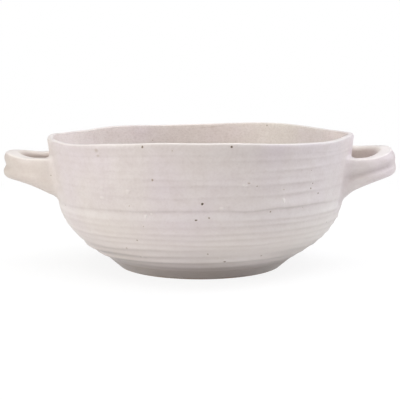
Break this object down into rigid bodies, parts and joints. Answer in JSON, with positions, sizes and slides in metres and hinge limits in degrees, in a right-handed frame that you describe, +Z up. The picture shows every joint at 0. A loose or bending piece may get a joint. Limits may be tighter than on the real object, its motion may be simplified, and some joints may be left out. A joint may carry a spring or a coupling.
{
  "type": "lug soup bowl",
  "caption": "Wide hand-thrown stoneware soup bowl with visible throwing rings, a thin wavy rim, a low trimmed foot and a short grooved strap handle on each side.",
  "frame": {"origin": "middle of the foot on the table, below the middle of the whole bowl", "axes": "+X towards the right-hand handle as the eater sees it, -Y towards the eater, +Z up"},
  "size_m": [0.1963, 0.1509, 0.0672],
  "materials": {
    "glaze": "satin",
    "clay": "matte"
  },
  "bodies": {
    "root": {"bowl": "glaze", "foot_ring": "clay", "handle_left": "glaze", "handle_right": "glaze"}
  },
  "joints": []
}
